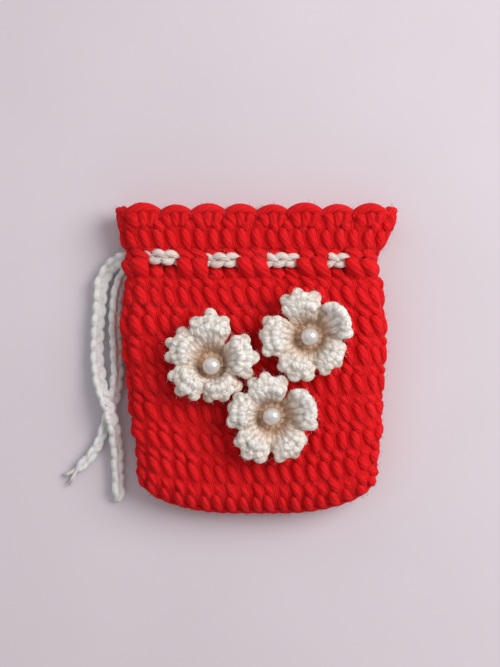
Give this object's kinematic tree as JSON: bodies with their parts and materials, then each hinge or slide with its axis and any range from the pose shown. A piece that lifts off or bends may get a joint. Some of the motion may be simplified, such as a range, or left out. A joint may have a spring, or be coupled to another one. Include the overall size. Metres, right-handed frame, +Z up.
{
  "type": "crocheted drawstring pouch",
  "caption": "Flat crocheted yarn pouch with a scalloped mouth, a chain cord woven between paired stitches, and cupped flowers with pearl beads sewn to the front.",
  "frame": {"origin": "on the table under the middle of the pouch, without its cord", "axes": "+Z up off the table, out of the flowered front; +Y from the bottom fold to the mouth; +X to the right of the front"},
  "size_m": [0.1124, 0.1028, 0.0252],
  "materials": {
    "red_yarn": "matte, soft acrylic yarn",
    "cream_yarn": "matte, soft acrylic yarn",
    "cream_cord": "matte, crocheted chain",
    "pearl": "pearly gloss",
    "sewing_thread": "satin thread"
  },
  "bodies": {
    "root": {"pouch_body": "red_yarn", "drawstring": "cream_cord", "flower_left": "cream_yarn", "flower_right": "cream_yarn", "flower_lower": "cream_yarn", "pearl_left": "pearl", "pearl_right": "pearl", "pearl_lower": "pearl", "sewing_thread_left": "sewing_thread", "sewing_thread_right": "sewing_thread", "sewing_thread_lower": "sewing_thread"}
  },
  "joints": []
}
